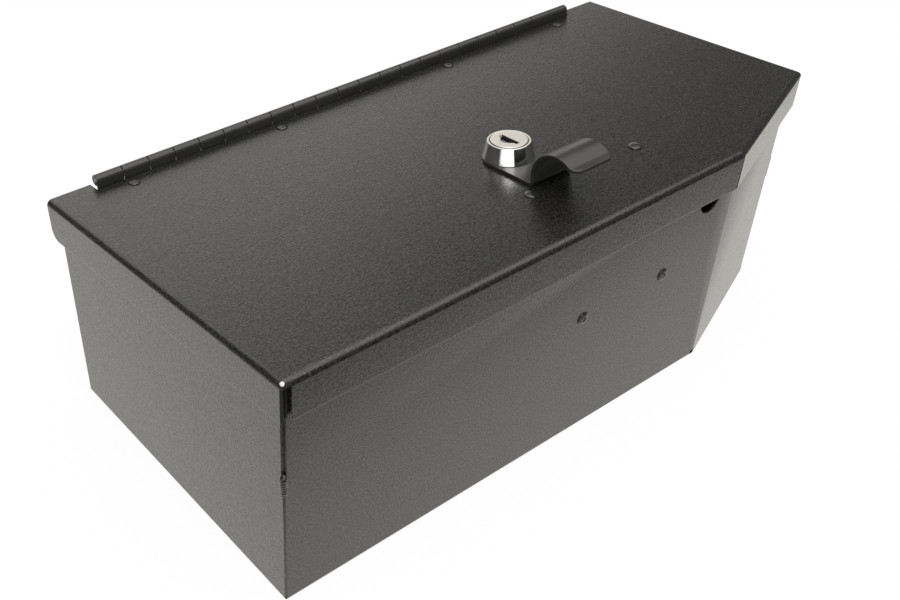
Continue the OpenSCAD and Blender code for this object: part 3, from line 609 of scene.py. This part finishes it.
def rounded(piece, width, longest_mitre=0.0):
    """Rounds a piece's sharp edges and keeps its flat faces flat in shading.

    Where tiny edges meet in a mitre, a rounding can throw a point far across a face. Such a point is set
    back on the nearest edge of the solid.
    """
    piece.data.shade_smooth()
    weigh_edges(piece, longest_mitre)
    near = edge_points(piece.data) if longest_mitre else None
    low, high = box_of([vert.co for vert in piece.data.vertices])
    bevel = piece.modifiers.new("edges", "BEVEL")
    bevel.width = width
    bevel.segments = bpy.context.scene.safe_edges.segments
    bevel.limit_method = "WEIGHT"
    bevel.use_clamp_overlap = False
    baked(piece)
    if near:
        for vert in piece.data.vertices:
            place, _, distance = near.find(vert.co)
            if distance > 3 * width:
                vert.co = place
            vert.co = [min(max(value, least), most) for value, least, most in zip(vert.co, low, high)]
    cut_up(piece.data)
    weighted = piece.modifiers.new("shading", "WEIGHTED_NORMAL")
    weighted.weight = 100
    return baked(piece)


def dress(piece, node):
    """Gives a finished piece its material, and lets it stand for a CAD node and ride on its body."""
    if not piece.data.materials:
        piece.data.materials.append(finish_for(SLOT_OF[node]))
    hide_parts(node)
    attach(piece, BODY_OF[node])
    return piece


def rounded_copy(node, name, width, longest_mitre=0.0):
    return dress(rounded(new_piece(name, merged_solid(node)), width, longest_mitre), node)


def islands(node):
    """The separate solids of a CAD node, each as a list of its points."""
    work = merged_solid(node)
    left = set(work.verts)
    found = []
    while left:
        todo = [left.pop()]
        points = []
        while todo:
            vert = todo.pop()
            points.append(vert.co.copy())
            for edge in vert.link_edges:
                other = edge.other_vert(vert)
                if other in left:
                    left.remove(other)
                    todo.append(other)
        found.append(points)
    work.free()
    return sorted(found, key=lambda points: (round(points[0].x, 3), points[0].y))


def turned(profile, steps):
    """A bmesh turned about Z from (radius, height) points that start and end on the axis."""
    work = bmesh.new()
    rings = []
    for radius, height in profile:
        if radius == 0:
            rings.append([work.verts.new((0, 0, height))])
            continue
        angles = [2 * math.pi * step / steps for step in range(steps)]
        rings.append([work.verts.new((radius * math.cos(a), radius * math.sin(a), height)) for a in angles])
    for low, high in zip(rings, rings[1:]):
        for step in range(steps):
            after = (step + 1) % steps
            corners = [low[step % len(low)], low[after % len(low)],
                       high[after % len(high)], high[step % len(high)]]
            work.faces.new(list(dict.fromkeys(corners)))
    bmesh.ops.recalc_face_normals(work, faces=work.faces)
    return work


def copies_tree():
    """A geometry node tree that sets one piece on every point, with a small turn of its own."""
    tree = bpy.data.node_groups.new("copies_on_points", "GeometryNodeTree")
    nodes = Nodes(tree)
    tree.interface.new_socket("Geometry", in_out="INPUT", socket_type="NodeSocketGeometry")
    tree.interface.new_socket("Piece", in_out="INPUT", socket_type="NodeSocketObject")
    tree.interface.new_socket("Material", in_out="INPUT", socket_type="NodeSocketMaterial")
    tree.interface.new_socket("Spin", in_out="INPUT", socket_type="NodeSocketFloat")
    tree.interface.new_socket("Seed", in_out="INPUT", socket_type="NodeSocketInt")
    tree.interface.new_socket("Geometry", in_out="OUTPUT", socket_type="NodeSocketGeometry")
    group = tree.nodes.new("NodeGroupInput")
    given = {socket.name: Sock(nodes, socket) for socket in group.outputs if socket.name}
    turn = nodes.node("GeometryNodeInputNamedAttribute", {"data_type": "FLOAT_VECTOR"}, {"Name": "turn"})
    spin = nodes.node("FunctionNodeRandomValue", {"data_type": "FLOAT"}, {
        "Min": given["Spin"] * -1.0, "Max": given["Spin"], "Seed": given["Seed"]}, 1)
    own = nodes.node("ShaderNodeCombineXYZ", None, {"Z": spin})
    piece = nodes.node("GeometryNodeObjectInfo", None, {"Object": given["Piece"]}, 4)
    placed = nodes.node("GeometryNodeInstanceOnPoints", None, {
        "Points": given["Geometry"], "Instance": piece, "Rotation": turn})
    spun = nodes.node("GeometryNodeRotateInstances", None, {"Instances": placed, "Rotation": own})
    real = nodes.node("GeometryNodeRealizeInstances", None, {"Geometry": spun})
    done = nodes.node("GeometryNodeSetMaterial", None, {"Geometry": real, "Material": given["Material"]})
    nodes.node("NodeGroupOutput", None, {"Geometry": done})
    return tree


def copies(name, pattern, places, material, spin=0.0, seed=1):
    """One mesh of copies of a pattern piece, each at a place with its own turn."""
    mesh = bpy.data.meshes.new(name)
    mesh.from_pydata([place for place, _ in places], [], [])
    turns = mesh.attributes.new("turn", "FLOAT_VECTOR", "POINT")
    for slot, (_, turn) in zip(turns.data, places):
        slot.vector = turn.to_matrix().to_euler()
    piece = bpy.data.objects.new(name, mesh)
    bpy.context.scene.collection.objects.link(piece)
    tree = bpy.data.node_groups.get("copies_on_points") or copies_tree()
    modifier = piece.modifiers.new("copies", "NODES")
    modifier.node_group = tree
    sockets = {item.name: item.identifier for item in tree.interface.items_tree if item.in_out == "INPUT"}
    modifier[sockets["Piece"]] = pattern
    modifier[sockets["Material"]] = material
    modifier[sockets["Spin"]] = spin
    modifier[sockets["Seed"]] = seed
    baked(piece)
    if "turn" in piece.data.attributes:
        piece.data.attributes.remove(piece.data.attributes["turn"])
    bpy.data.objects.remove(pattern)
    return piece


def rivet_piece(settings, radius, grip, bore=0.0):
    """One rivet: a domed head, with a bore in a blind one, its shank, and its upset tail."""
    head, shank, deep = settings.head, settings.shank / 2, settings.bore_depth
    rim, arcs, steps = 0.25, 7, 28
    top = [(0, head)]
    first = 1
    if bore:
        top = [(0, -deep), (bore * 0.8, -deep), (bore, -deep * 0.8), (bore, head * 0.9)]
        first = 2
    dome = [(radius * math.sin(a), head * (rim + (1 - rim) * math.cos(a)))
            for a in [math.pi / 2 * arc / arcs for arc in range(first, arcs + 1)]]
    dome = [at for at in dome if at[0] > bore * 1.05]
    edge = [(radius * 0.985, head * rim * 0.4), (radius * 0.94, 0.0), (shank, 0.0), (shank, -grip)]
    tail = [(radius * out, -grip - settings.tail * down) for out, down in TAIL_SHAPE]
    piece = new_piece("rivet_pattern", turned(top + dome + edge + tail, steps))
    piece.data.shade_smooth()
    return piece


def rivets(node, name, axis, bore=0.0):
    """The rivets of a CAD node: their places, length and head come from its solids."""
    settings = bpy.context.scene.safe_rivets
    places = []
    for points in islands(node):
        along = [point.dot(axis) for point in points]
        flat = [point - axis * height for point, height in zip(points, along)]
        low, high = box_of(flat)
        centre = (low + high) / 2
        seat = centre - axis * centre.dot(axis) + axis * (max(along) - settings.head)
        radius = (high.x - low.x) / 2
        grip = max(along) - min(along) - settings.head - settings.tail
        places.append((seat, axis.to_track_quat("Z", "Y")))
    pattern = rivet_piece(settings, radius, grip, bore)
    piece = copies(name, pattern, places, finish_for(SLOT_OF[node]), math.pi, seed=7)
    return dress(piece, node)


class SAFE_OT_body_shell(bpy.types.Operator):
    """Body shell with rounded edges and its powder coat"""

    bl_idname = "safe.body_shell"
    bl_label = "Body shell"

    def execute(self, context):
        body = rounded_copy("body_shell", "folded_body", context.scene.safe_edges.sheet, MITRE)
        # The body's coat carries painted shade in the slot at the front left corner
        body.data.materials[0] = powder_coat(context.scene.safe_coat, "slotted_powder_coat", slot=True)
        return {"FINISHED"}


class SAFE_OT_welds(bpy.types.Operator):
    """Weld beads on the upright corners; the one that stands out shows the ripples of its pool"""

    bl_idname = "safe.welds"
    bl_label = "Corner welds"

    def execute(self, context):
        work = merged_solid("corner_welds")
        front_left = min(islands("corner_welds"),
                         key=lambda points: min(point.x + point.y for point in points))
        low, high = box_of(front_left)
        inside = [vert for vert in work.verts
                  if all(low[i] - MERGE < vert.co[i] < high[i] + MERGE for i in range(3))]
        bmesh.ops.delete(work, geom=inside, context="VERTS")
        self.bead(work, front_left)
        piece = new_piece("weld_beads", work)
        piece.data.shade_smooth()
        dress(piece, "corner_welds")
        return {"FINISHED"}

    def bead(self, work, points):
        """One bead along its solid: rings whose size swells and shrinks with each ripple."""
        rings, steps, ripples = 64, 20, 9
        fill, blunt, ripple_depth, wander, sag = 0.92, 6, 0.07, 0.06, 0.25
        low = min(points, key=lambda point: point.z)
        high = max(points, key=lambda point: point.z)
        middle = sum(points, Vector()) / len(points)
        line = high - low
        radius = max(Vector((p.x - middle.x, p.y - middle.y, 0)).length for p in points)
        last = None
        for ring in range(rings + 1):
            part = ring / rings
            end = math.sqrt(max(0.0, 1 - (2 * part - 1) ** blunt))
            ripple = 1 - ripple_depth * abs(math.sin(math.pi * ripples * part))
            size = max(radius * fill * end * ripple, 1e-5)
            aside = wander * math.sin(part * 7.0) * radius
            centre = Vector((middle.x, middle.y, 0)) + Vector((aside, 0, low.z + line.z * part))
            now = []
            for a in [2 * math.pi * step / steps for step in range(steps)]:
                out = Vector((math.cos(a), math.sin(a), -sag * math.cos(a) ** 2))
                now.append(work.verts.new(centre + out * size))
            if last:
                for step in range(steps):
                    after = (step + 1) % steps
                    work.faces.new((last[step], last[after], now[after], now[step]))
            else:
                work.faces.new(list(reversed(now)))
            last = now
        work.faces.new(last)


class SAFE_OT_lid(bpy.types.Operator):
    """Lid panel with rounded edges and its powder coat"""

    bl_idname = "safe.lid"
    bl_label = "Lid panel"

    def execute(self, context):
        panel = rounded_copy("lid_panel", "folded_lid", context.scene.safe_edges.sheet, MITRE)
        top_edge = [vert.co.dot(LID_UP) for vert in panel.data.vertices if vert.co.y < 0]
        # The lid's coat carries a painted highlight along its lower edges, painted shade in the front left
        # slot and a painted glint at that corner's tip
        panel.data.materials[0] = powder_coat(
            context.scene.safe_coat, "worn_powder_coat", min(top_edge), slot=True, tip=True)
        return {"FINISHED"}


class SAFE_OT_hinge(bpy.types.Operator):
    """Both leaves of the continuous hinge, and its pin"""

    bl_idname = "safe.hinge"
    bl_label = "Hinge"

    def execute(self, context):
        edge = context.scene.safe_edges.small
        rounded_copy("hinge_body_leaf", "hinge_leaf_on_body", edge)
        rounded_copy("hinge_lid_leaf", "hinge_leaf_on_lid", edge)
        pin = rounded_copy("hinge_pin", "long_pin", edge)
        pin.data.materials.append(finish_for("coat_gloss"))
        for face in pin.data.polygons:
            if abs(face.normal.x) > 0.5:
                face.material_index = 1
        return {"FINISHED"}


class SAFE_OT_rivets(bpy.types.Operator):
    """The rivets of the lid, the hinge and the catch"""

    bl_idname = "safe.rivets"
    bl_label = "Rivets"

    def execute(self, context):
        rivets("hinge_lid_rivets", "lid_leaf_rivets", LID_UP)
        rivets("reinforcement_rivets", "lock_plate_rivets", LID_UP)
        rivets("catch_rivets", "front_wall_rivets", Vector((0, -1, 0)), context.scene.safe_rivets.bore)
        rivets("hinge_body_rivets", "body_leaf_rivets", self.back_wall_out())
        return {"FINISHED"}

    @staticmethod
    def back_wall_out():
        """The outward direction of the leaning back wall, from the long axes of its rivets."""
        points = islands("hinge_body_rivets")[0]
        out = max(points, key=lambda point: point.y)
        inner = [point for point in points if point.y < min(p.y for p in points) + 0.0002]
        middle = sum(inner, Vector()) / len(inner)
        return Vector((0, out.y - middle.y, out.z - middle.z)).normalized()


class SAFE_OT_pull(bpy.types.Operator):
    """Finger pull with rounded edges and its smooth paint"""

    bl_idname = "safe.pull"
    bl_label = "Finger pull"

    def execute(self, context):
        rounded_copy("finger_pull", "bent_finger_pull", context.scene.safe_edges.sheet)
        return {"FINISHED"}


class SAFE_OT_lock(bpy.types.Operator):
    """The lock's housing and plug, with painted shade in the key slot"""

    bl_idname = "safe.lock"
    bl_label = "Lock"

    def execute(self, context):
        edge = context.scene.safe_edges.lock
        satin = satin_face(context.scene.safe_metal.satin)
        housing = rounded_copy("lock_housing", "bezel_and_barrel", edge)
        housing.data.materials.append(satin)
        for face in housing.data.polygons:
            up = face.normal.dot(LID_UP) > FACING
            face.material_index = int(up and (face.center - LOCK_FOOT).dot(LID_UP) > BEZEL_FACE)
        plug = rounded(new_piece("plug_with_slot", merged_solid("lock_plug")), edge)
        plug.data.materials.append(finish_for("chrome"))
        plug.data.materials.append(keyway_metal())
        plug.data.materials.append(satin)
        top = max((vert.co - LOCK_FOOT).dot(LID_UP) for vert in plug.data.vertices)
        for face in plug.data.polygons:
            place = face.center - LOCK_FOOT
            height = place.dot(LID_UP)
            reach = (place - LID_UP * height).length
            # Painted shade on the faces down in the key slot
            if height < top - SLOT_DARK and reach < SLOT_REACH:
                face.material_index = 1
            elif height > top - PLUG_FACE:
                face.material_index = 2
        dress(plug, "lock_plug")
        rounded_copy("wafer_tumblers", "brass_wafers", context.scene.safe_edges.wafer)
        return {"FINISHED"}


class SAFE_OT_springs(bpy.types.Operator):
    """The small coil springs under the wafers"""

    bl_idname = "safe.springs"
    bl_label = "Wafer springs"

    def execute(self, context):
        places = []
        axis = Vector((0, 1, 0)) - LID_UP * LID_UP.y
        for points in islands("wafer_springs"):
            low, high = box_of(points)
            places.append(((low + high) / 2, axis.to_track_quat("Z", "X")))
            length = (high - low).length * 0.93
            radius = (high.x - low.x) / 2
        piece = copies("wafer_coil_springs", self.coil(radius, length), places, finish_for("zinc"))
        dress(piece, "wafer_springs")
        return {"FINISHED"}

    @staticmethod
    def coil(radius, length):
        """One coil spring along Z, centred on the origin."""
        turns, steps, wire, sides = 6, 14, 0.00009, 6
        work = bmesh.new()
        last = None
        for step in range(turns * steps + 1):
            angle = 2 * math.pi * step / steps
            out = Vector((math.cos(angle), math.sin(angle), 0))
            centre = out * (radius - wire) + Vector((0, 0, length * (step / (turns * steps) - 0.5)))
            corners = [2 * math.pi * side / sides for side in range(sides)]
            now = [work.verts.new(centre + (out * math.cos(c) + Vector((0, 0, 1)) * math.sin(c)) * wire)
                   for c in corners]
            if last:
                for side in range(sides):
                    after = (side + 1) % sides
                    work.faces.new((last[side], now[side], now[after], last[after]))
            else:
                work.faces.new(now)
            last = now
        work.faces.new(list(reversed(last)))
        bmesh.ops.recalc_face_normals(work, faces=work.faces)
        piece = new_piece("spring_pattern", work)
        piece.data.shade_smooth()
        return piece


class SAFE_OT_fixings(bpy.types.Operator):
    """The pieces that hold the lock and the catch, inside the safe"""

    bl_idname = "safe.fixings"
    bl_label = "Plate, nut, cam and catch"

    def execute(self, context):
        edge = context.scene.safe_edges.small
        for node, name in (
            ("lock_reinforcement", "lock_plate"),
            ("lock_washer", "flat_washer"),
            ("lock_nut", "brass_nut"),
            ("cam_stop_washer", "stop_washer"),
            ("lock_cam", "flat_cam"),
            ("cam_spring_washer", "spring_washer"),
            ("cam_screw", "hexagon_screw"),
            ("catch_bracket", "bent_catch"),
        ):
            rounded_copy(node, name, edge)
        return {"FINISHED"}


class SAFE_OT_studio(bpy.types.Operator):
    """Pale floor, even light, two softboxes, and the camera"""

    bl_idname = "safe.studio"
    bl_label = "Studio"

    def execute(self, context):
        self.floor(context.scene.safe_studio)
        self.light(context.scene, context.scene.safe_studio)
        self.camera(context.scene, context.scene.safe_camera)
        return {"FINISHED"}

    @staticmethod
    def seen(nodes):
        """1 for the camera's own rays, and for those of reflections and of glass."""
        camera, glossy, through = (nodes.node("ShaderNodeLightPath", output=output)
                                   for output in (CAMERA_RAY, GLOSSY_RAY, TRANSMISSION_RAY))
        return camera + glossy + through > 0.5

    def floor(self, settings):
        """A pale floor that the camera and reflections see as white, with its shadow."""
        work = bmesh.new()
        bmesh.ops.create_circle(work, cap_ends=True, segments=96, radius=settings.floor_size)
        floor = new_piece("floor", work)
        material, nodes = new_material("pale_floor")
        paint = nodes.node("ShaderNodeBsdfDiffuse", None, {"Color": opaque(settings.floor)})
        camera = nodes.node("ShaderNodeLightPath", output=CAMERA_RAY)
        place = nodes.place()
        across, depth = nodes.part(place, 0), nodes.part(place, 1)
        front = nodes.fade(depth, settings.front_fade, settings.front_dim, 1.0)
        corner = nodes.fade(across + depth, settings.corner_fade, settings.front_dim, 1.0)
        away = nodes.node("ShaderNodeVectorMath", {"operation": "LENGTH"}, {0: place}, 1)
        table = nodes.fade(away, settings.table_fade, 1.0, settings.front_dim)
        far = nodes.mixed(front * corner * table, (0, 0, 0, 1), opaque(settings.warm))
        plain = nodes.mixed(camera, far, (1, 1, 1, 1))
        white = nodes.node("ShaderNodeEmission", None, {"Color": plain, "Strength": 1.0})
        share = self.seen(nodes) * settings.floor_white
        both = nodes.node("ShaderNodeMixShader", None, {0: share, 1: paint, 2: white})
        nodes.node("ShaderNodeOutputMaterial", None, {"Surface": both})
        material.cycles.emission_sampling = "NONE"
        floor.data.materials.append(material)

    @staticmethod
    def light(scene, settings):
        """Soft light from above, the back, the left and low in front; the camera sees plain white."""
        world = bpy.data.worlds.new("studio")
        world.use_nodes = True
        scene.world = world
        nodes = Nodes(world.node_tree)
        camera = nodes.node("ShaderNodeLightPath", output=CAMERA_RAY)
        way = nodes.node("ShaderNodeTexCoord", output=DIRECTION)
        half = settings.fade / 2
        behind = nodes.fade(nodes.along(way, settings.side), (-half, half), settings.dim, settings.bright)
        left = nodes.fade(nodes.part(way, 0), settings.left_fade, settings.dim, 1.0)
        above = nodes.fade(nodes.part(way, 2), settings.top_fade, 0.0, settings.bright)
        low = nodes.fade(nodes.along(way, settings.low_side), settings.low_fade, 0.0, settings.low_light)
        level = nodes.node("ShaderNodeMath", {"operation": "MAXIMUM"}, {0: behind * left, 1: above}) + low
        soft = nodes.node("ShaderNodeBackground", None, {"Color": opaque(settings.tint), "Strength": level})
        white = nodes.node("ShaderNodeBackground", None, {"Color": (1, 1, 1, 1), "Strength": 1.0})
        both = nodes.node("ShaderNodeMixShader", None, {0: camera, 1: soft, 2: white})
        nodes.node("ShaderNodeOutputWorld", None, {"Surface": both})
        for name, place, size, power in SOFTBOXES:
            lamp = bpy.data.lights.new(name, "AREA")
            lamp.shape = "RECTANGLE"
            lamp.size, lamp.size_y = size
            lamp.energy = getattr(settings, power)
            lamp.color = settings.tint
            holder = bpy.data.objects.new(name, lamp)
            holder.location = place
            holder.rotation_euler = (-holder.location).to_track_quat("-Z", "Y").to_euler()
            scene.collection.objects.link(holder)

    @staticmethod
    def camera(scene, settings):
        """The camera at the photograph's angle, and plain colours."""
        data = bpy.data.cameras.new("camera")
        data.lens = settings.lens
        data.sensor_width = 36
        data.shift_x, data.shift_y = settings.shift
        data.clip_start, data.clip_end = 0.01, 50
        camera = bpy.data.objects.new("camera", data)
        aim = Vector(settings.aim).normalized()
        level = aim.to_track_quat("-Z", "Y").to_matrix().to_4x4()
        roll = Matrix.Rotation(settings.roll, 4, "Z")
        camera.matrix_world = Matrix.Translation(settings.place) @ level @ roll
        scene.collection.objects.link(camera)
        scene.camera = camera
        scene.view_settings.view_transform = "Standard"


class SAFE_PT_pieces(bpy.types.Panel):
    """Lists the pieces of the safe and their settings"""

    bl_label = "Under-seat safe"
    bl_idname = "SAFE_PT_pieces"
    bl_space_type = "VIEW_3D"
    bl_region_type = "UI"
    bl_category = "Safe"

    def draw(self, context):
        for operator in OPERATORS:
            self.layout.operator(operator.bl_idname)
        for name, group in SETTINGS.items():
            box = self.layout.box()
            box.label(text=group.__doc__)
            for setting in group.__annotations__:
                box.prop(getattr(context.scene, name), setting)


SETTINGS = {
    "safe_coat": CoatSettings,
    "safe_gloss": GlossSettings,
    "safe_metal": MetalSettings,
    "safe_edges": EdgeSettings,
    "safe_rivets": RivetSettings,
    "safe_camera": CameraSettings,
    "safe_studio": StudioSettings,
}
OPERATORS = (
    SAFE_OT_body_shell,
    SAFE_OT_welds,
    SAFE_OT_lid,
    SAFE_OT_hinge,
    SAFE_OT_rivets,
    SAFE_OT_pull,
    SAFE_OT_lock,
    SAFE_OT_springs,
    SAFE_OT_fixings,
    SAFE_OT_studio,
)


def register():
    for group in SETTINGS.values():
        bpy.utils.register_class(group)
    for operator in OPERATORS:
        bpy.utils.register_class(operator)
    bpy.utils.register_class(SAFE_PT_pieces)
    for name, group in SETTINGS.items():
        setattr(bpy.types.Scene, name, PointerProperty(type=group))


def unregister():
    for name in SETTINGS:
        delattr(bpy.types.Scene, name)
    bpy.utils.unregister_class(SAFE_PT_pieces)
    for operator in reversed(OPERATORS):
        bpy.utils.unregister_class(operator)
    for group in reversed(list(SETTINGS.values())):
        bpy.utils.unregister_class(group)


def main():
    register()
    bpy.ops.safe.body_shell()
    bpy.ops.safe.welds()
    bpy.ops.safe.lid()
    bpy.ops.safe.hinge()
    bpy.ops.safe.rivets()
    bpy.ops.safe.pull()
    bpy.ops.safe.lock()
    bpy.ops.safe.springs()
    bpy.ops.safe.fixings()
    bpy.ops.safe.studio()


if __name__ == "__main__":
    main()
